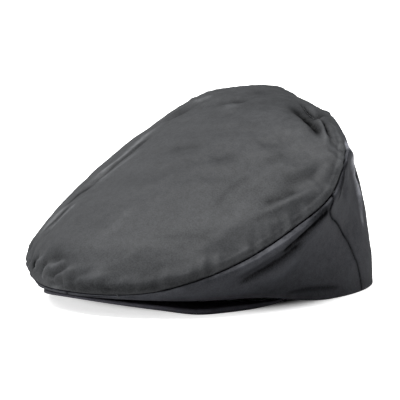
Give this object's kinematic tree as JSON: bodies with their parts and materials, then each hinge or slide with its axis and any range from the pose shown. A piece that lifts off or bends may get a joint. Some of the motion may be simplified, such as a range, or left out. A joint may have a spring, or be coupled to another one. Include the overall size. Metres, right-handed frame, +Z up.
{
  "type": "flat cap",
  "caption": "Flat cap of dark waxed cotton: one-piece top rolled over side and back panels, stiff cloth-covered peak under the nose.",
  "frame": {"origin": "middle of the foot of the overall box: on the surface that the cap stands on, halfway along its length and width", "axes": "+Z up, -Y towards the peak (front), +X towards the wearer's left"},
  "size_m": [0.2096, 0.2545, 0.1299],
  "materials": {
    "top_cloth": "waxed cotton, soft sheen",
    "wall_cloth": "waxed cotton, soft sheen",
    "peak_cloth": "waxed cotton over a board"
  },
  "bodies": {
    "root": {"top_panel": "top_cloth", "side_panel_left": "wall_cloth", "side_panel_right": "wall_cloth", "back_panel_left": "wall_cloth", "back_panel_right": "wall_cloth", "peak": "peak_cloth"}
  },
  "joints": []
}
